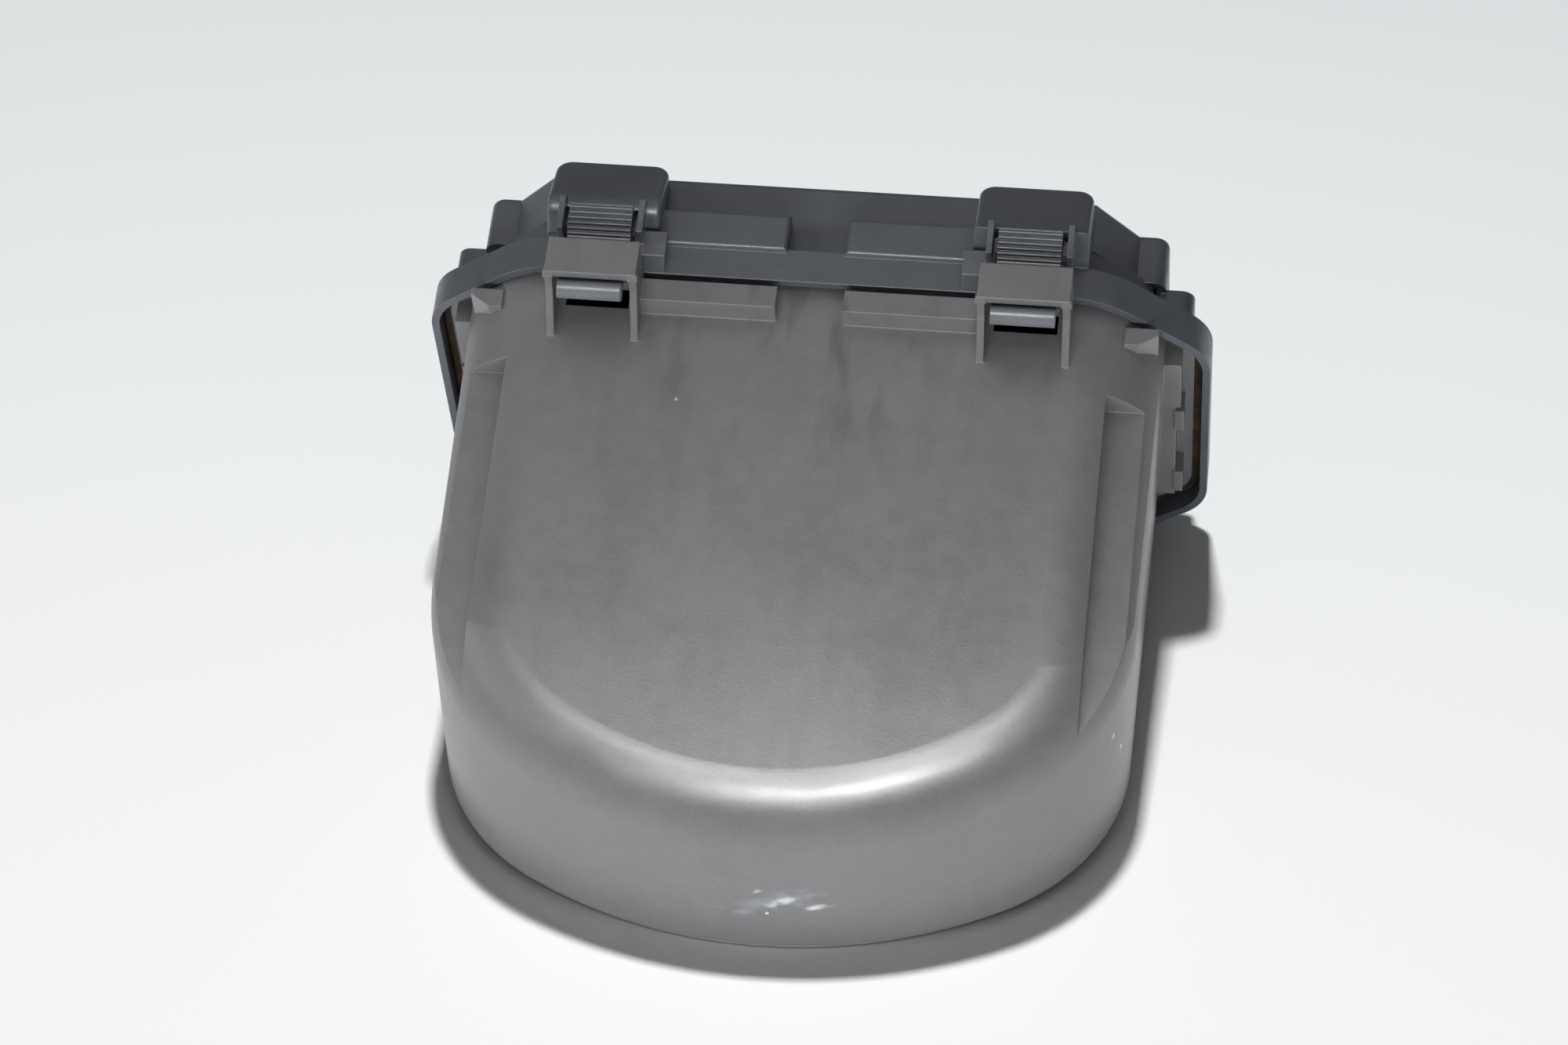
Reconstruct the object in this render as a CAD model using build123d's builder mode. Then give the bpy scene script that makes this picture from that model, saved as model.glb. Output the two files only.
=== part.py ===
"""Moulded plastic housing: D-plan body shell with a snap-on end cover.

The body stands on its flat underside, Z up. Its flat deck slopes down to the rounded end.
The open mouth leans back by `tilt`, and the end cover slides off square to the mouth.
Lengths across the mouth are given in the mouth's own axes: X across, V up the mouth face
and D the distance in front of the skirt's front edge, towards the rounded end.
"""
import os
from math import cos, radians, sin, tan

from build123d import *

os.makedirs("parts", exist_ok=True)

# ---- driving dimensions, mm ----------------------------------------------------------
tilt = 17.0                # lean of the mouth face from upright, degrees
datum_y = 40.8             # Y of the mouth datum, which centres the part over its origin
skirt_drop = 91.0          # skirt's lowest edge, down the mouth face from the datum
skirt_top = 17.0           # skirt's top edge, up the mouth face from the datum
skirt_half = 100.0         # half width of the skirt
skirt_depth = 9.5          # skirt, front edge to back face
skirt_wall = 2.0
corner_in = 27.0           # upper corner cut of the skirt, measured across
corner_down = 22.5         # upper corner cut of the skirt, measured down
low_in = 18.0              # lower corner cut, across and down
low_down = 15.0

wall = 2.8                 # body wall
body_half = 86.4           # half width of the body at its underside
side_draft = 1.4           # body walls lean out by this angle, degrees
end_radius = 112.0         # plan radius of the rounded end
end_reach = 137.0          # rounded end, in front of the datum along the floor
plan_corner = 58.0         # plan radius between side and rounded end
deck_slope = 4.0           # deck against the tube axis, degrees
deck_height = 12.3         # deck above the datum at the skirt's front edge
deck_rim = 18.0            # radius between deck and rounded end
deck_side = 26.0           # radius between deck and sides
deck_half = 91.0           # half width of the deck with its rolled sides
sole_rise = 2.5            # underside lifts by this angle towards the mouth, degrees
sole_rim = 3.0
corner_run = 62.0          # length of the cut lower corners along the floor

groove_inner = 75.3        # side groove: inner wall from the middle
groove_start = 22.5        # side groove: end wall in front of the skirt
groove_depth = 9.4         # side groove: floor below the deck

flange_face = -4.5         # flange front face, behind the skirt's front edge
flange_depth = 2.7
flange_inset = 4.3         # flange edge inside the skirt's outline
seal_gap = 0.3             # running gap between the gasket and the skirt
lip_gap = 0.5              # gap between the body's rolled edge and the skirt, from lip_front back
lip_front = 0.6

loop_middle = 54.0         # latch loops and fingers: middle, from the middle of the part
loop_half = 11.5
loop_top = 30.0
loop_reach = 10.1          # bridge plate front edge, in front of the skirt
loop_back = -0.3
plate = 2.2
ear = 1.8
ear_nose = 1.3             # radius of the rounded boss at the top of each gusset
ear_foot = 16.8            # gusset foot, in front of the skirt
ear_back = 0.6
slot_half = 8.0
slot_front = 7.6
bar_inner = 8.5
bar_front = 8.6
bar_back = 2.2
bar_height = 5.4

finger_half = 8.0
pad_top = 27.6
bead_radius = 2.3
bead_reach = 12.4
bead_height = 25.9
hinge_back = 13.4          # finger hinge line behind the skirt's front edge
hinge_height = 22.6
knuckle = 1.4              # radius of the finger's round root
rib_pitch = 1.3
rib_count = 6

lug_back = 2.2             # corner lugs, from and to this far in front of the skirt's edge
lug_front = 7.4
lug_inner = 78.7
lug_outer = 87.0
lug_top = 8.8
rail_half = 91.6           # outer face of the side rails
rail_top = -6.0
rail_low = -69.0
rail_depth = 6.0
head_height = 19.0
peg_high = -33.0
peg_low = -62.0
peg_height = 9.0

pad_front = 4.4            # grip pad's lower edge, behind the skirt's front edge
pad_low = 24.4
arm = 2.0
rib_radius = 0.55
guard_half = 10.1
guard_wall = 1.5
guard_front = 6.0
guard_back = 15.0
guard_top = 27.4
step_inner = 37.4
step_outer = 45.4
step_top = 21.7

step_depth = 19.0          # back face of the cover's first step
end_depth = 33.0           # back face of the cover
cover_wall = 2.4
step_half = 94.8           # first step: half width, top edge and height of its shoulder
step_edge = 12.5
step_shoulder = 17.2
step_ledge = 8.8
step_cut = 18.0
tower_half = 14.4
tower_height = 18.3        # latch tower, at the back of the cover
tower_front = 27.0         # latch tower, at its front
box_inner = 7.3
box_height = 18.0
box_depth = 19.6
cap_half = 87.5            # second step, the same way
cap_top = 12.2
cap_shoulder = 12.8
cap_ledge = 7.5
cap_cut = 11.0
big = 400.0

# ---- placing planes ------------------------------------------------------------------
lean = radians(tilt)
datum = Vector(0, datum_y, skirt_drop * cos(lean))
tube = Vector(0, cos(lean), sin(lean))           # the way the cover comes off
mouth_up = Vector(0, -sin(lean), cos(lean))
mouth_plane = Plane(origin=datum, x_dir=(1, 0, 0), z_dir=-tube)     # offset = distance D
side_plane = Plane(origin=datum, x_dir=tube, z_dir=(1, 0, 0))       # local x = -D, y = V
lug_plane = Plane(origin=datum + mouth_up * lug_top, x_dir=(1, 0, 0), z_dir=mouth_up)   # local y = -D
deck_angle = radians(tilt + deck_slope)
deck_point = datum + mouth_up * deck_height
deck_plane = Plane(origin=deck_point, x_dir=(1, 0, 0), z_dir=(0, -cos(deck_angle), -sin(deck_angle)))


def mouth_outline(inset):
    """Outline parallel to the skirt's, `inset` mm inside it, with its eight corners rounded."""
    half = skirt_half - inset
    top = skirt_top - inset
    low = -skirt_drop + inset
    cut_in = corner_in - 0.35 * inset
    cut_down = corner_down - 0.45 * inset
    foot_in = low_in - 0.35 * inset
    foot_down = low_down - 0.45 * inset
    with BuildSketch(Plane.XY) as outline:
        with BuildLine():
            Polyline(
                (half - cut_in, top), (half, top - cut_down), (half, low + foot_down), (half - foot_in, low),
                (foot_in - half, low), (-half, low + foot_down), (-half, top - cut_down), (cut_in - half, top),
                close=True,
            )
        make_face()
        fillet(outline.vertices().filter_by(lambda v: abs(v.X) < half - 1), 24 - inset)
        fillet(outline.vertices().filter_by(lambda v: abs(v.X) > half - 0.1), 16 - inset)
    return outline.sketch


def at(up, ahead):
    """World (Y, Z) of a point `up` the mouth face and `ahead` of the skirt's front edge."""
    point = datum + mouth_up * up - tube * ahead
    return (point.Y, point.Z)


def deck_up(ahead):
    """Height of the deck up the mouth face, `ahead` of the skirt's front edge."""
    return deck_height - ahead * tan(radians(deck_slope))


def corner_cut(side, inset):
    """Plane that cuts a lower corner from the mouth forwards, facing out and down."""
    low_y, low_z = at(flange_inset - skirt_drop, flange_face)
    high_y, high_z = at(flange_inset - skirt_drop + low_down, flange_face)
    low = Vector(side * (skirt_half - flange_inset - low_in), low_y, low_z)
    high = Vector(side * (skirt_half - flange_inset), high_y, high_z)
    tip = Vector(side * body_half, datum_y - corner_run, 0)
    facing = (high - low).cross(tip - low) * side
    facing = facing if facing.Z < 0 else facing * -1
    return Plane(origin=low, x_dir=high - low, z_dir=facing).offset(-inset)


def tub_form(inset):
    """The D-plan tub as a solid, `inset` mm inside the body's outer faces."""
    half = body_half - inset
    radius = end_radius - inset
    end_y = datum_y - end_reach
    sole_y = end_y + sole_rim
    side_y = end_y + inset + radius - (radius**2 - half**2) ** 0.5
    mouth_back = -flange_face + 2 * inset
    # the sole rises from the rounded end; where it meets the mouth face
    rise = tan(radians(sole_rise))
    mouth_y, mouth_z = at(0, -mouth_back)
    sole_down = (mouth_z - inset - (mouth_y - sole_y) * rise) / (cos(lean) + sin(lean) * rise)
    with BuildPart() as form:
        with BuildSketch(Plane.XY.offset(-5)) as plan:
            with BuildLine():
                Polyline((-half, side_y), (-half, big / 4), (half, big / 4), (half, side_y))
                ThreePointArc((half, side_y), (0, end_y + inset), (-half, side_y))
            make_face()
            fillet(plan.vertices().group_by(Axis.Y)[0], plan_corner - inset)
        extrude(amount=135, taper=-side_draft)
        with BuildSketch(Plane.YZ):
            with BuildLine():
                Polyline(
                    at(deck_up(-mouth_back) - inset, -mouth_back), at(-sole_down, -mouth_back),
                    (sole_y - 30, inset - 30 * rise), at(deck_up(200) - inset, 200),
                    close=True,
                )
            make_face()
        extrude(amount=big / 2, both=True, mode=Mode.INTERSECT)
        deck_face = form.faces().sort_by(Axis.Z)[-1]
        rounded = deck_face.edges().filter_by(lambda e: e.length > 1).sort_by(Axis.Y)[:-1]
        fillet(rounded, deck_rim - inset)
        sole_face = form.faces().filter_by(lambda f: f.normal_at().Z < -0.9)[0]
        fillet(sole_face.edges().sort_by(Axis.Y)[:-1], max(sole_rim - inset, 0.4))
        # the lower corners are cut back towards the mouth, to stay inside the flange
        for side in (-1, 1):
            split(bisect_by=corner_cut(side, inset), keep=Keep.BOTTOM)
        # the deck's long sides roll over on a larger radius
        with BuildSketch(deck_plane.offset(-40)):
            with Locations((0, -big / 4)):
                rolled = Rectangle(2 * (deck_half - inset), big / 2 - 2 * inset)
            fillet(rolled.vertices().group_by(Axis.Y)[-1], deck_side - inset)
        extrude(amount=big, mode=Mode.INTERSECT)
    return form.part


def groove_space(grow):
    """Space of the two flat-floored side grooves, `grow` mm larger than the grooves."""
    floor_front = deck_up(groove_start) - groove_depth - grow
    with BuildPart() as space:
        for side in (-1, 1):
            with BuildSketch(side_plane.offset(side * (groove_inner - grow))):
                with BuildLine():
                    Polyline(
                        (grow - groove_start, floor_front), (grow - groove_start, big / 8),
                        (-big / 2, big / 8), (-big / 2, deck_up(big / 2) - groove_depth - grow),
                        close=True,
                    )
                make_face()
            extrude(amount=side * 40)
    return space.part


def across(inner, outer, side):
    """Middle and width of a stretch from `inner` to `outer` on one side of the part."""
    return side * (inner + outer) / 2, outer - inner


# ---- body shell ----------------------------------------------------------------------
with BuildPart() as cavity:
    add(tub_form(wall))
    add(groove_space(wall), mode=Mode.SUBTRACT)

with BuildPart() as body_shell:
    add(tub_form(0))
    add(groove_space(0), mode=Mode.SUBTRACT)
    with BuildSketch(mouth_plane.offset(flange_face)):
        add(mouth_outline(flange_inset))
    extrude(amount=-flange_depth)

    for side in (-1, 1):
        # latch loop: a bridge plate on two gusset ears
        for edge in (-1, 1):
            ear_middle = side * loop_middle + edge * (loop_half - ear / 2)
            with BuildSketch(side_plane.offset(ear_middle)):
                with BuildLine():
                    Polyline(
                        (-ear_back, deck_height - 1), (-ear_back, loop_top - plate / 2),
                        (-loop_reach, loop_top - plate / 2), (-loop_reach - 0.8, loop_top - 3 * plate),
                        (-ear_foot, deck_up(ear_foot)), (-ear_foot, deck_up(ear_foot) - 1),
                        close=True,
                    )
                make_face()
            extrude(amount=ear / 2, both=True)
            with BuildSketch(side_plane.offset(ear_middle)):
                with Locations((ear_nose - loop_reach - 0.6, loop_top - ear_nose - 0.5)):
                    Circle(ear_nose)
            extrude(amount=ear / 2 + 0.4, both=True)
        with BuildSketch(side_plane.offset(side * loop_middle)):
            with BuildLine():
                Polyline(
                    (-loop_back, loop_top - plate), (-loop_back, loop_top),
                    (-loop_reach, loop_top), (-loop_reach, loop_top - plate),
                    close=True,
                )
            make_face()
        extrude(amount=loop_half, both=True)
        # core slot through the deck under the bridge plate
        with BuildSketch(side_plane.offset(side * loop_middle)):
            with BuildLine():
                Polyline(
                    (-ear_back, deck_height - 2 * wall), (-ear_back, deck_height + 1),
                    (-slot_front, deck_height + 1), (-slot_front, deck_height - 2 * wall),
                    close=True,
                )
            make_face()
        extrude(amount=slot_half, both=True, mode=Mode.SUBTRACT)
        # locating bar from the loop towards the middle
        bar_middle, bar_width = across(bar_inner, loop_middle - loop_half + ear, side)
        with BuildSketch(side_plane.offset(bar_middle)):
            with BuildLine():
                Polyline(
                    (-bar_back, deck_height - 1), (-bar_back, deck_height + bar_height),
                    (-bar_front, deck_height + bar_height), (-bar_front, deck_height - 2),
                    close=True,
                )
            make_face()
        extrude(amount=bar_width / 2, both=True)
        # corner lug on the rolled edge, its outer front corner cut off
        with BuildSketch(lug_plane):
            with BuildLine():
                Polyline(
                    (side * lug_inner, -lug_back), (side * lug_inner, -lug_front),
                    (side * (lug_inner + 3.3), -lug_front), (side * lug_outer, -lug_back - 1.8),
                    (side * lug_outer, -lug_back),
                    close=True,
                )
            make_face()
        extrude(amount=-10)
        # stepped rail down the side wall, inside the skirt
        rail_middle, rail_width = across(body_half - 1, rail_half, side)
        with BuildSketch(mouth_plane.offset(flange_face)):
            with Locations((rail_middle, (rail_top + rail_low) / 2)):
                Rectangle(rail_width, rail_top - rail_low)
        extrude(amount=rail_depth)
        head_middle, head_width = across(body_half - 1, rail_half + 1.2, side)
        with BuildSketch(mouth_plane.offset(flange_face)):
            with Locations((head_middle, rail_top - head_height / 2)):
                Rectangle(head_width, head_height)
        extrude(amount=rail_depth + 1.6)
        for peg_up in (peg_high, peg_low):
            with BuildSketch(mouth_plane.offset(flange_face)):
                with Locations((side * (rail_half + 0.8), peg_up)):
                    Rectangle(2.4, peg_height)
            extrude(amount=rail_depth + 0.6)
        # the rolled edge steps down to slip under the skirt
        with BuildSketch(mouth_plane.offset(lip_front)):
            with Locations((side * (skirt_half - corner_in + 12), skirt_top - corner_down)):
                Rectangle(34, 36)
            add(mouth_outline(skirt_wall + lip_gap), mode=Mode.SUBTRACT)
        extrude(amount=-12, mode=Mode.SUBTRACT)
    add(cavity.part, mode=Mode.SUBTRACT)

body_shell.part.label = "body_shell"
export_step(body_shell.part, "parts/body_shell.step")

# ---- gasket on the flange's rim ------------------------------------------------------
with BuildPart() as mouth_gasket:
    with BuildSketch(mouth_plane.offset(flange_face - 0.2)):
        add(mouth_outline(skirt_wall + seal_gap))
        add(mouth_outline(flange_inset), mode=Mode.SUBTRACT)
    extrude(amount=0.4 - flange_depth)

mouth_gasket.part.label = "mouth_gasket"
export_step(mouth_gasket.part, "parts/mouth_gasket.step")


def shouldered(half, top, ledge, shoulder, cut, inset):
    """Outline of one of the cover's steps: each corner is cut off down to a square shoulder."""
    half = half - inset
    low = -skirt_drop + (skirt_top - top) + inset
    top = top - inset
    with BuildSketch(Plane.XY) as outline:
        with BuildLine():
            Polyline(
                (half - ledge - cut, top), (half - ledge, top - shoulder), (half, top - shoulder),
                (half, low + shoulder), (half - ledge, low + shoulder), (half - ledge - cut, low),
                (ledge + cut - half, low), (ledge - half, low + shoulder), (-half, low + shoulder),
                (-half, top - shoulder), (ledge - half, top - shoulder), (ledge + cut - half, top),
                close=True,
            )
        make_face()
        fillet(outline.vertices().filter_by(lambda v: abs(v.X) > half - 0.1), 3.5 - inset)
    return outline.sketch


def step_outline(inset):
    """Outline of the cover's first step."""
    return shouldered(step_half, step_edge, step_ledge, step_shoulder, step_cut, inset)


def cap_outline(inset):
    """Outline of the cover's second step, which carries its end face."""
    return shouldered(cap_half, cap_top, cap_ledge, cap_shoulder, cap_cut, inset)


# ---- latch towers and low boxes of the cover -----------------------------------------
with BuildPart() as towers:
    for side in (-1, 1):
        # tower over its full width, its top falling towards the back and rolling over at the front
        with BuildSketch(side_plane.offset(side * loop_middle)) as tower_side:
            with BuildLine():
                Polyline(
                    (skirt_depth, cap_top - 2), (skirt_depth, pad_low - 5.4), (hinge_back + 0.3, tower_front - 1.0),
                    (end_depth - 1, tower_height), (end_depth - 1, cap_top - 2),
                    close=True,
                )
            make_face()
            fillet(tower_side.vertices().sort_by(Axis.Z)[-1], 5.0)
        extrude(amount=tower_half, both=True)
    far_corners = towers.edges().filter_by(lambda e: abs(e.tangent_at(0.5).dot(mouth_up)) > 0.95)
    fillet(far_corners.sort_by(Axis(datum, tube))[-4:], 4.0)
    rims = towers.edges().filter_by(lambda e: (e.center() - datum).dot(mouth_up) > tower_height - 0.5)
    far_rims = rims.filter_by(lambda e: (e.center() - datum).dot(tube) > hinge_back + 6)
    fillet(far_rims, 1.2)
    for side in (-1, 1):
        # seat behind the grip pad
        with BuildSketch(side_plane.offset(side * loop_middle)):
            with BuildLine():
                Polyline(
                    (skirt_depth - 1, pad_low - 4.4), (hinge_back + 0.3, pad_low - 3.0),
                    (hinge_back + 0.3, big / 8), (skirt_depth - 1, big / 8),
                    close=True,
                )
            make_face()
        extrude(amount=guard_half, both=True, mode=Mode.SUBTRACT)
        with BuildSketch(side_plane.offset(side * loop_middle)):
            with Locations((hinge_back, hinge_height)):
                Circle(knuckle + 0.1)
        extrude(amount=finger_half + 0.3, both=True, mode=Mode.SUBTRACT)

with BuildPart() as boxes:
    for side in (-1, 1):
        box_middle, box_width = across(box_inner, loop_middle - tower_half + 1, side)
        with BuildSketch(mouth_plane.offset(1 - skirt_depth)):
            with Locations((box_middle, (box_height + cap_top - 2) / 2)):
                Rectangle(box_width, box_height - cap_top + 2)
        extrude(amount=skirt_depth - box_depth - 1)
    box_top = boxes.faces().filter_by(lambda f: f.normal_at().dot(mouth_up) > 0.9)
    fillet(box_top.edges(), 1.2)


# ---- end cover -----------------------------------------------------------------------
with BuildPart() as end_cover:
    # skirt band, first step and second step
    with BuildSketch(mouth_plane):
        add(mouth_outline(0))
    extrude(amount=-skirt_depth)
    with BuildSketch(mouth_plane.offset(-skirt_depth)):
        add(step_outline(0))
    extrude(amount=skirt_depth - step_depth)
    with BuildSketch(mouth_plane.offset(1 - step_depth)):
        add(cap_outline(0))
    extrude(amount=step_depth - end_depth - 1)
    fillet(end_cover.faces().sort_by(Axis(datum, tube))[-1].edges(), 2.0)
    add(towers.part)
    add(boxes.part)

    for side in (-1, 1):
        # guard ears beside the grip pad
        for edge in (-1, 1):
            guard_middle = side * loop_middle + edge * guard_half
            with BuildSketch(side_plane.offset(guard_middle)):
                with BuildLine():
                    Polyline(
                        (guard_front, pad_low - 6), (guard_front, guard_top - 1.4),
                        (guard_back, guard_top), (guard_back + 1.5, tower_front - 3),
                        (guard_back, cap_top), (skirt_depth, cap_top),
                        close=True,
                    )
                make_face()
            extrude(amount=guard_wall / 2, both=True)
        # raised block on the skirt beside the loop
        step_middle, step_width = across(step_inner, step_outer, side)
        with BuildSketch(side_plane.offset(step_middle)):
            with BuildLine():
                Polyline(
                    (0.3, skirt_top - 1), (0.3, skirt_top + 0.4), (2.8, step_top - 1.0), (skirt_depth, step_top),
                    (skirt_depth, skirt_top - 1),
                    close=True,
                )
            make_face()
        extrude(amount=step_width / 2, both=True)

    # hollow from the mouth side, step by step
    with BuildSketch(mouth_plane):
        add(mouth_outline(skirt_wall))
    extrude(amount=skirt_wall - skirt_depth, mode=Mode.SUBTRACT)
    with BuildSketch(mouth_plane):
        add(step_outline(cover_wall))
    extrude(amount=cover_wall - step_depth, mode=Mode.SUBTRACT)
    with BuildSketch(mouth_plane.offset(cover_wall - step_depth)):
        add(cap_outline(cover_wall))
    extrude(amount=step_depth - end_depth, mode=Mode.SUBTRACT)

end_cover.part.label = "end_cover"
export_step(end_cover.part, "parts/end_cover.step")

# ---- snap fingers --------------------------------------------------------------------
for side, name in ((-1, "snap_finger_left"), (1, "snap_finger_right")):
    with BuildPart() as finger:
        with BuildSketch(side_plane.offset(side * loop_middle)):
            with BuildLine():
                Polyline(
                    (hinge_back - 0.4, pad_top - 0.2), (pad_front, pad_low), (-bead_reach + 1, bead_height + 0.9),
                    (-bead_reach + 1, bead_height - 0.9), (pad_front, pad_low - arm),
                    (hinge_back - 0.4, pad_low - arm),
                    close=True,
                )
            make_face()
            with Locations((-bead_reach, bead_height)):
                Circle(bead_radius)
            with Locations((hinge_back, hinge_height)):
                Circle(knuckle)
            for k in range(rib_count):
                along = pad_front + 1.0 + k * rib_pitch
                climb = (pad_top - pad_low) / (hinge_back - pad_front)
                with Locations((along, pad_low + (along - pad_front) * climb)):
                    Circle(rib_radius)
        extrude(amount=finger_half, both=True)
    finger.part.label = name
    export_step(finger.part, f"parts/{name}.step")
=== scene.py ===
import math

import bpy
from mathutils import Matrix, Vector

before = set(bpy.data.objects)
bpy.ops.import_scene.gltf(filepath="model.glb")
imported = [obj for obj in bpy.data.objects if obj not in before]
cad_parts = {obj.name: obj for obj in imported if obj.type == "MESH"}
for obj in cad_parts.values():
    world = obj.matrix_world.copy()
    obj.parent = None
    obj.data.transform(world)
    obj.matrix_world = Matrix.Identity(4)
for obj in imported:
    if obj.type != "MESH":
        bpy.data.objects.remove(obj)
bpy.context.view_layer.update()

scene = bpy.context.scene
scene.view_settings.view_transform = "Standard"


def toLinear(hexColour):
    # each channel: c / 12.92 below 0.04045, else ((c + 0.055) / 1.055) to the power 2.4
    channels = [int(hexColour[i:i + 2], 16) / 255 for i in (1, 3, 5)]
    linear = [c / 12.92 if c <= 0.04045 else ((c + 0.055) / 1.055) ** 2.4 for c in channels]
    return (*linear, 1.0)


def addNode(tree, kind, settings=None, inputs=None):
    # one node: its settings, then each input as a value or a link from another node's output
    node = tree.nodes.new(kind)
    for name, value in (settings or {}).items():
        setattr(node, name, value)
    for name, value in (inputs or {}).items():
        if isinstance(value, bpy.types.NodeSocket):
            tree.links.new(value, node.inputs[name])
        else:
            node.inputs[name].default_value = value
    return node


def newMaterial(name):
    # the material, its node tree, its shader and the object's own coordinates in metres
    material = bpy.data.materials.new(name)
    material.use_nodes = True
    tree = material.node_tree
    place = addNode(tree, "ShaderNodeTexCoord").outputs["Object"]
    return material, tree, tree.nodes["Principled BSDF"], place


def giveMaterial(nodeName, material):
    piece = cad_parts[nodeName]
    piece.data.materials.clear()
    piece.data.materials.append(material)
    for polygon in piece.data.polygons:
        polygon.material_index = 0


def tinted(tree, under, hexColour, amount):
    # under * (1 - amount) + hexColour * amount
    mix = addNode(tree, "ShaderNodeMix", {"data_type": "RGBA"}, {0: amount, 6: under, 7: toLinear(hexColour)})
    return mix.outputs[2]


def ramped(tree, value, low, high, lowOut=0.0, highOut=1.0):
    # value taken smoothly from low..high to lowOut..highOut, and held at both ends
    stretch = addNode(tree, "ShaderNodeMapRange", {"interpolation_type": "SMOOTHSTEP"},
                      {0: value, 1: low, 2: high, 3: lowOut, 4: highOut})
    return stretch.outputs[0]


def combined(tree, operation, first, *others):
    # first, then each of the others, put together by one operation such as ADD or MAXIMUM
    for other in others:
        first = addNode(tree, "ShaderNodeMath", {"operation": operation}, {0: first, 1: other}).outputs[0]
    return first


def noisy(tree, place, millimetres, detail, stretch=(1, 1, 1)):
    # fractal noise, 0 to 1, with 1000 / millimetres blots to a metre, each axis drawn out by stretch
    laid = addNode(tree, "ShaderNodeMapping", None, {"Vector": place, "Scale": [1 / s for s in stretch]})
    return addNode(tree, "ShaderNodeTexNoise", None,
                   {"Vector": laid.outputs[0], "Scale": 1000 / millimetres, "Detail": detail}).outputs[0]


def markAt(tree, place, centre, reach, turn):
    # length of (place - centre) turned about Y and divided by reach: 1 inside a quarter, 0 past 1
    moved = addNode(tree, "ShaderNodeVectorMath", {"operation": "SUBTRACT"},
                    {0: place, 1: [c / 1000 for c in centre]})
    turned = addNode(tree, "ShaderNodeMapping", None,
                     {"Vector": moved.outputs[0], "Rotation": (0, math.radians(turn), 0)})
    scaled = addNode(tree, "ShaderNodeVectorMath", {"operation": "MULTIPLY"},
                     {0: turned.outputs[0], 1: [1000 / r for r in reach]})
    away = addNode(tree, "ShaderNodeVectorMath", {"operation": "LENGTH"}, {0: scaled.outputs[0]})
    return ramped(tree, away.outputs["Value"], 0.25, 1.0, 1.0, 0.0)


def marksOver(tree, place, marks):
    # the strongest of several marks at each point
    return combined(tree, "MAXIMUM", *[markAt(tree, place, *mark) for mark in marks])


def softEdges(tree, millimetres):
    # normals averaged over that radius, and a mask from their dot product with the mesh's own normals:
    # 0 where that is 0.99 or more, 1 where it is 0.80 or less, which is along the edges
    rounded = addNode(tree, "ShaderNodeBevel", {"samples": 6}, {"Radius": millimetres / 1000})
    own = addNode(tree, "ShaderNodeNewGeometry").outputs["Normal"]
    agree = addNode(tree, "ShaderNodeVectorMath", {"operation": "DOT_PRODUCT"},
                    {0: rounded.outputs[0], 1: own})
    return rounded.outputs[0], ramped(tree, agree.outputs["Value"], 0.99, 0.80)


def grained(tree, shader, height, depth, normal):
    # the surface stands out by height times depth in millimetres
    bump = addNode(tree, "ShaderNodeBump", None,
                   {"Height": height, "Strength": 1.0, "Distance": depth / 1000, "Normal": normal})
    tree.links.new(bump.outputs[0], shader.inputs["Normal"])


print("materials")

absIor = 1.54
shellLook = {
    "grey": "#7f7f81", "dark": "#79797b",       # the moulded colour and its clouds
    "sootAndShade": "#505053",                          # handling smears, partly painted shade, and pits of the grain
    "bluishBlot": "#a3abb3", "pale": "#d4d8da",     # bluish round the streaks on the end wall; the streaks themselves, and dust
    "rubbed": "#a2a2a3", "floorReflection": "#eeeeea",  # edges; painted reflection of the floor on the lowest rim of the wall
    "cloud": 36.0, "mottle": 4.5, "smearAndShade": 9.0, "torn": 2.6,    # sizes of the blots, mm
    "grain": 0.75, "grainDepth": 0.03, "edge": 0.45,            # mm
    "smearAndShadeMiddle": ((-2, 22, 93), (46, 40, 40), 0),             # the middle of the top towards the mouth, darkened as handling and as painted shade
    "rough": 0.36,
}
# faint marks on the shell: middle and reach in mm, then a turn about Y in degrees
paleStreaks = [((6.6, -96.5, 17.6), (5.5, 4, 1.7), 24), ((15.6, -95.6, 15.8), (5.0, 4, 1.3), 12),
               ((1.5, -96.7, 21.4), (5.5, 4, 1.0), 26)]
bluishBlots = [((7.0, -96.5, 18.0), (15.0, 6, 4.6), 14), ((-5.0, -96.5, 13.5), (9.0, 6, 2.2), 8)]
dustSpecks = [((83.3, -51.8, 37.9), (1.0, 1.0, 1.0), 0), ((85.0, -46.2, 29.3), (1.1, 1.1, 1.1), 0),
              ((-31.0, 6.7, 87.1), (0.6, 0.6, 0.6), 0), ((3.0, -96.6, 13.4), (0.7, 1.0, 0.7), 0)]


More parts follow.
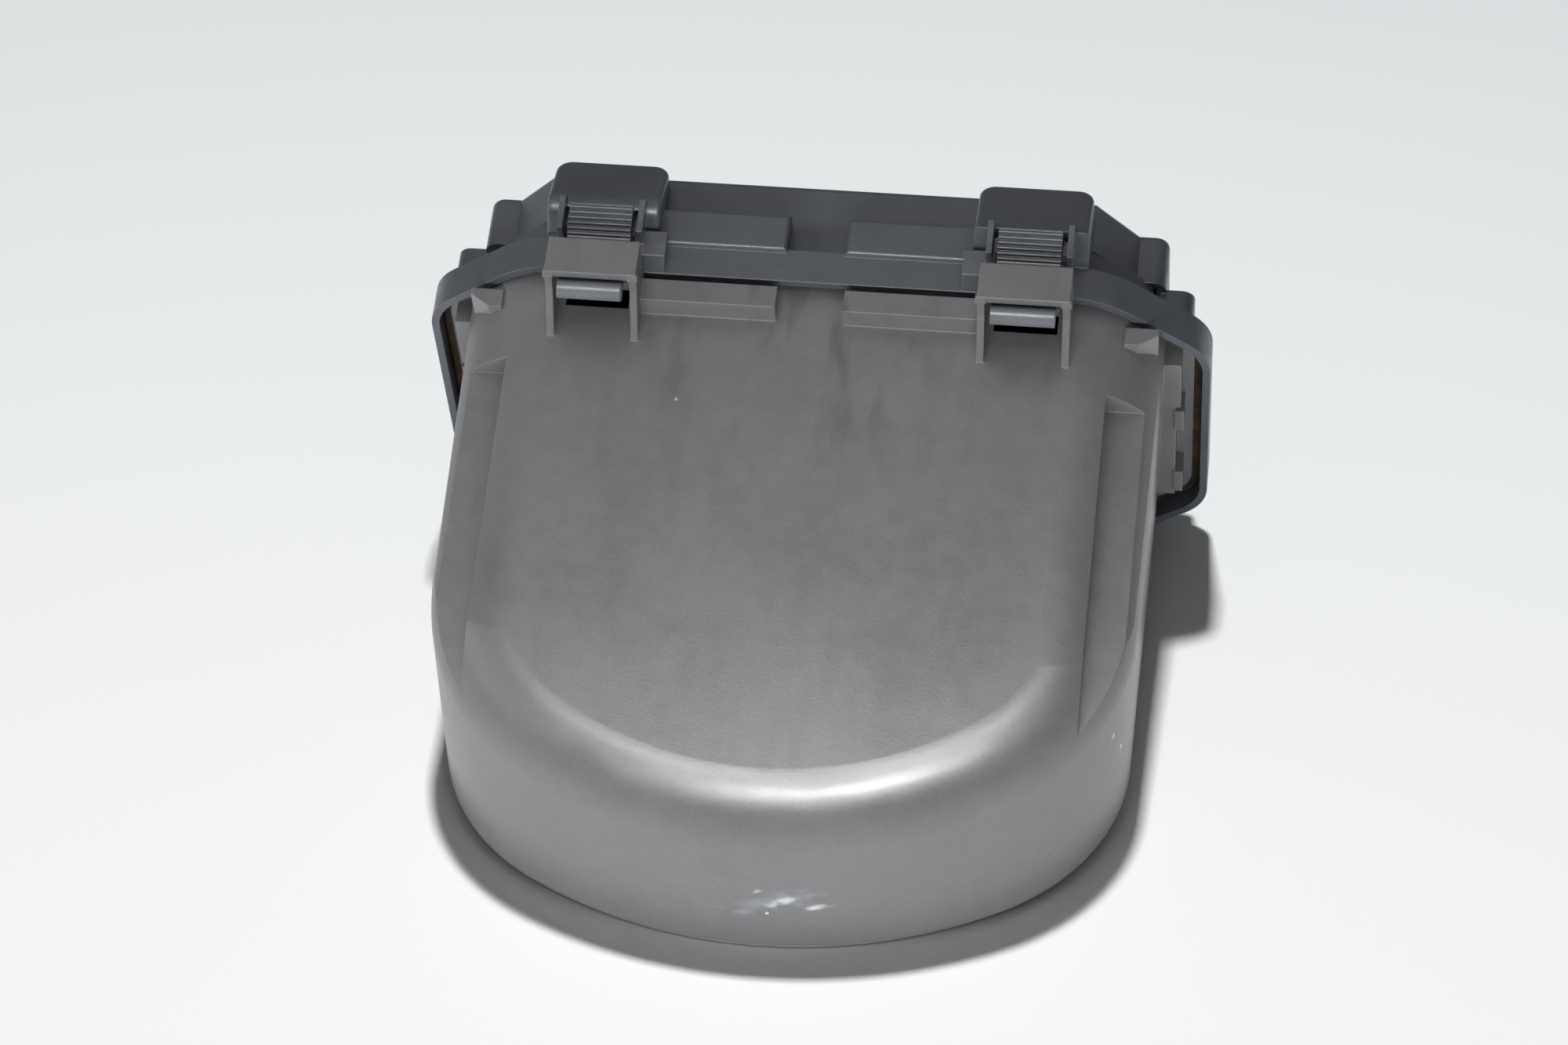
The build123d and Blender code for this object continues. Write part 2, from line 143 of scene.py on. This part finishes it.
def shellPlastic():
    # ABS moulded in a spark-eroded tool: an even satin grey with a fine matt grain, cloudy where it
    # flowed, with dull handling smears on the flat top that carry painted shade, and edges rubbed lighter.
    # The real grain is about 0.2 mm, drawn coarser so that it shows.
    look = shellLook
    material, tree, shader, place = newMaterial("sparkGrainedAbsGrey")
    cloud = noisy(tree, place, look["cloud"], 3.0)
    mottle = noisy(tree, place, look["mottle"], 4.0)
    grain = noisy(tree, place, look["grain"], 2.0)
    flow = combined(tree, "ADD", combined(tree, "MULTIPLY", cloud, 0.6),
                    combined(tree, "MULTIPLY", mottle, 0.4))
    colour = tinted(tree, toLinear(look["dark"]), look["grey"], ramped(tree, flow, 0.32, 0.68))
    colour = tinted(tree, colour, look["sootAndShade"], ramped(tree, grain, 0.55, 0.80, 0.0, 0.30))
    # handling smears drawn out down the flat top, with painted shade making them strongest in its middle,
    # towards the mouth
    normal = addNode(tree, "ShaderNodeNewGeometry").outputs["Normal"]
    facing = addNode(tree, "ShaderNodeSeparateXYZ", None, {0: normal}).outputs["Z"]
    streak = ramped(tree, noisy(tree, place, look["smearAndShade"], 3.0, (1, 3.5, 3.5)), 0.50, 0.72)
    middle = combined(tree, "MULTIPLY", markAt(tree, place, *look["smearAndShadeMiddle"]), 0.7)
    smearAndShade = combined(tree, "MULTIPLY", streak, ramped(tree, facing, 0.86, 0.92),
                     combined(tree, "ADD", middle, 0.2))
    colour = tinted(tree, colour, look["sootAndShade"], smearAndShade)
    # pale bluish blots with whiter streaks on the end wall, broken up by noise, and caught dust
    torn = ramped(tree, noisy(tree, place, look["torn"], 4.0, (2.2, 1, 1)), 0.42, 0.60)
    blotted = combined(tree, "MULTIPLY", marksOver(tree, place, bluishBlots), torn, 0.5)
    colour = tinted(tree, colour, look["bluishBlot"], blotted)
    streaked = combined(tree, "MULTIPLY", marksOver(tree, place, paleStreaks), torn)
    pale = combined(tree, "MAXIMUM", streaked, marksOver(tree, place, dustSpecks))
    colour = tinted(tree, colour, look["pale"], pale)
    # painted reflection of the white floor: the lowest 1 mm of the walls is drawn pale, which is gone 1.9 mm
    # above the floor
    high = addNode(tree, "ShaderNodeSeparateXYZ", None, {0: place}).outputs["Z"]
    floorReflection = combined(tree, "MULTIPLY", ramped(tree, high, 0.0019, 0.0010), ramped(tree, facing, -0.9, -0.7))
    colour = tinted(tree, colour, look["floorReflection"], floorReflection)
    rounded, edge = softEdges(tree, look["edge"])
    colour = tinted(tree, colour, look["rubbed"], combined(tree, "MULTIPLY", edge, 0.6))
    tree.links.new(colour, shader.inputs["Base Color"])
    # roughness follows the flow clouds, and is higher where it is smeared
    rough = ramped(tree, flow, 0.3, 0.7, look["rough"] - 0.05, look["rough"] + 0.05)
    rough = combined(tree, "ADD", rough, combined(tree, "MULTIPLY", smearAndShade, 0.12))
    tree.links.new(rough, shader.inputs["Roughness"])
    shader.inputs["IOR"].default_value = absIor
    grained(tree, shader, grain, look["grainDepth"], rounded)
    return material


coverLook = {
    "slate": "#5a5e65", "dark": "#54585f",      # the moulded colour and its clouds
    "scuff": "#6b7076", "rubbed": "#8b9399",    # short scuffs; edges
    "paintedBeadHighlight": "#a3a9ac",                          # painted highlight on the fingers' round beads, drawn pale all round
    "cloud": 24.0, "mottle": 3.0, "scuffWide": 1.4,             # sizes of the blots, mm
    "grain": 0.6, "grainDepth": 0.012, "edge": 0.4,             # mm
    "rough": 0.36,
}
# where the beads' painted highlight goes: middle and reach in mm, then a turn about Y in degrees
beadHighlightSpots = [((side * 54, 21.4, 108.2), (40, 3.4, 3.4), 0) for side in (-1, 1)]


def coverPlastic():
    # ABS moulded in a stoned, ungrained tool: dark slate with a soft sheen, faint flow clouds,
    # short scuffs and edges rubbed pale.
    look = coverLook
    material, tree, shader, place = newMaterial("smoothMouldedAbsSlate")
    cloud = noisy(tree, place, look["cloud"], 3.0)
    mottle = noisy(tree, place, look["mottle"], 4.0)
    grain = noisy(tree, place, look["grain"], 2.0)
    colour = tinted(tree, toLinear(look["dark"]), look["slate"], ramped(tree, cloud, 0.35, 0.65))
    scuff = ramped(tree, noisy(tree, place, look["scuffWide"], 3.0, (5, 1, 1)), 0.64, 0.74)
    scuff = combined(tree, "MULTIPLY", scuff, ramped(tree, mottle, 0.45, 0.6, 0.0, 0.25))
    colour = tinted(tree, colour, look["scuff"], scuff)
    rounded, edge = softEdges(tree, look["edge"])
    colour = tinted(tree, colour, look["rubbed"], combined(tree, "MULTIPLY", edge, 0.7))
    # painted highlight: the fingers' round beads are drawn pale
    colour = tinted(tree, colour, look["paintedBeadHighlight"], marksOver(tree, place, beadHighlightSpots))
    tree.links.new(colour, shader.inputs["Base Color"])
    rough = ramped(tree, mottle, 0.3, 0.7, look["rough"] - 0.05, look["rough"] + 0.06)
    tree.links.new(rough, shader.inputs["Roughness"])
    shader.inputs["IOR"].default_value = absIor
    grained(tree, shader, grain, look["grainDepth"], rounded)
    return material


sealLook = {
    "brown": "#4b3a2f", "dark": "#33291f",      # the bloom and the rubber under it
    "bloom": 6.0, "skin": 0.5, "skinDepth": 0.02, "edge": 0.3,  # mm
    "rough": 0.8,
}


def sealRubber():
    # extruded EPDM: dull brown black, with a dusty bloom and a fine skin
    look = sealLook
    material, tree, shader, place = newMaterial("extrudedEpdmBrown")
    bloom = ramped(tree, noisy(tree, place, look["bloom"], 3.0), 0.4, 0.65)
    colour = tinted(tree, toLinear(look["dark"]), look["brown"], bloom)
    tree.links.new(colour, shader.inputs["Base Color"])
    shader.inputs["Roughness"].default_value = look["rough"]
    rounded = softEdges(tree, look["edge"])[0]
    grained(tree, shader, noisy(tree, place, look["skin"], 2.0), look["skinDepth"], rounded)
    return material


giveMaterial("body_shell", shellPlastic())
slate = coverPlastic()
for nodeName in ("end_cover", "snap_finger_left", "snap_finger_right"):
    giveMaterial(nodeName, slate)
giveMaterial("mouth_gasket", sealRubber())

print("floor")

floorLook = {
    "half": 6.0, "nearAt": -0.16, "farAt": 0.42,    # metres: half a side, and where each colour is reached
    "near": "#fdfdfd", "far": "#cfd6d7",
}


def floorSheet():
    # a square at z = 0, its colour going evenly from near to far along Y
    half = floorLook["half"]
    corners = [(-half, -half, 0), (half, -half, 0), (half, half, 0), (-half, half, 0)]
    mesh = bpy.data.meshes.new("floor")
    mesh.from_pydata(corners, [], [(0, 1, 2, 3)])
    floor = bpy.data.objects.new("floor", mesh)
    scene.collection.objects.link(floor)
    # coated paper, matt and pale, with painted shade: a little cooler and darker towards the back, where the
    # light falls off
    material, tree, shader, place = newMaterial("coatedPaper")
    along = addNode(tree, "ShaderNodeSeparateXYZ", None, {0: place}).outputs["Y"]
    shade = addNode(tree, "ShaderNodeMapRange", None,
                    {0: along, 1: floorLook["nearAt"], 2: floorLook["farAt"]}).outputs[0]
    colour = tinted(tree, toLinear(floorLook["near"]), floorLook["far"], shade)
    tree.links.new(colour, shader.inputs["Base Color"])
    shader.inputs["Roughness"].default_value = 0.95
    shader.inputs["Specular IOR Level"].default_value = 0.1
    mesh.materials.append(material)
    return floor


floor = floorSheet()

print("light")

floorOnly = bpy.data.collections.new("floorOnly")
floorOnly.objects.link(floor)
pieceOnly = bpy.data.collections.new("pieceOnly")
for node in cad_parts.values():
    pieceOnly.objects.link(node)

# each lamp: bearing from the front and height in degrees, distance and size in metres, and the light
# that a sheet of paper held square to it would get, where 1 shows the paper's own colour. The
# narrow spread of rimGleam makes it stronger than that along its middle.
lamps = {
    "floorKey": {"bearing": 183, "height": 79.0, "away": 2.0, "size": (0.13, 0.13), "light": 0.95,
                 "only": floorOnly},
    "frontFill": {"bearing": 0, "height": 7, "away": 1.6, "size": (1.6, 0.3), "light": 0.64,
                  "only": pieceOnly, "glossy": False},
    "softTop": {"bearing": 200, "height": 70, "away": 1.5, "size": (1.2, 1.0), "light": 0.22,
                "only": pieceOnly, "glossy": False},
    "leftFill": {"bearing": -80, "height": 28, "away": 1.5, "size": (1.0, 0.8), "light": 0.22,
                 "only": pieceOnly},
    "topGleam": {"bearing": 0, "height": 68, "away": 0.40, "size": (0.30, 0.05), "light": 0.95,
                 "only": pieceOnly, "diffuse": False},
    "rimGleam": {"bearing": 5, "height": 53, "away": 0.36, "size": (0.28, 0.025), "light": 0.075,
                 "aim": (0.004, -0.08, 0.045), "spread": 18, "only": pieceOnly, "diffuse": False},
}
usualAim = (0, 0, 0.06)


def areaLamp(name, look):
    # way is the unit vector from the aim to the lamp; power = light * (pi * distance) squared
    bearing, height = math.radians(look["bearing"]), math.radians(look["height"])
    flat = math.cos(height)
    way = Vector((math.sin(bearing) * flat, -math.cos(bearing) * flat, math.sin(height)))
    lamp = bpy.data.lights.new(name, "AREA")
    lamp.shape = "RECTANGLE"
    lamp.size, lamp.size_y = look["size"]
    lamp.energy = look["light"] * (math.pi * look["away"]) ** 2
    lamp.spread = math.radians(look.get("spread", 180))
    holder = bpy.data.objects.new(name, lamp)
    scene.collection.objects.link(holder)
    holder.location = way * look["away"] + Vector(look.get("aim", usualAim))
    holder.rotation_mode = "QUATERNION"
    holder.rotation_quaternion = (-way).to_track_quat("-Z", "Y")
    holder.light_linking.receiver_collection = look["only"]
    holder.visible_glossy = look.get("glossy", True)
    holder.visible_diffuse = look.get("diffuse", True)
    holder.visible_camera = False


for name, look in lamps.items():
    areaLamp(name, look)

skyLook = {"horizon": 0.03, "zenith": 0.14, "dimGloss": 0.15, "topGloss": 0.45}


def studioSky():
    # white where the camera looks past the floor; as light, and in gloss, dim at the horizon and
    # brighter overhead
    world = bpy.data.worlds.new("studio")
    scene.world = world
    world.use_nodes = True
    tree = world.node_tree
    way = addNode(tree, "ShaderNodeTexCoord").outputs["Generated"]
    up = addNode(tree, "ShaderNodeSeparateXYZ", None, {0: way}).outputs["Z"]
    glow = ramped(tree, up, 0.1, 0.9, skyLook["horizon"], skyLook["zenith"])
    gloss = ramped(tree, up, 0.5, 0.95, skyLook["dimGloss"], skyLook["topGloss"])
    ray = addNode(tree, "ShaderNodeLightPath")
    seen = combined(tree, "MAXIMUM", ray.outputs["Is Camera Ray"], ray.outputs["Is Transmission Ray"])
    lit = addNode(tree, "ShaderNodeMix", {"data_type": "FLOAT"},
                  {0: ray.outputs["Is Glossy Ray"], 2: glow, 3: gloss}).outputs[0]
    strength = addNode(tree, "ShaderNodeMix", {"data_type": "FLOAT"}, {0: seen, 2: lit, 3: 1.0}).outputs[0]
    background = tree.nodes["Background"]
    background.inputs["Color"].default_value = (1, 1, 1, 1)
    tree.links.new(strength, background.inputs["Strength"])


studioSky()

print("camera")

# place in metres, turn in degrees about X, Y and Z, lens in mm for a sensor 36 mm wide
cameraSet = {"place": (0.12919, -0.9489, 0.89848), "turn": (48.6122, 1.1563, 6.9563), "lens": 116.62}


def setCamera():
    data = bpy.data.cameras.new("camera")
    data.sensor_width = 36
    data.lens = cameraSet["lens"]
    data.clip_start, data.clip_end = 0.01, 50
    camera = bpy.data.objects.new("camera", data)
    scene.collection.objects.link(camera)
    camera.location = cameraSet["place"]
    camera.rotation_euler = [math.radians(angle) for angle in cameraSet["turn"]]
    scene.camera = camera


setCamera()
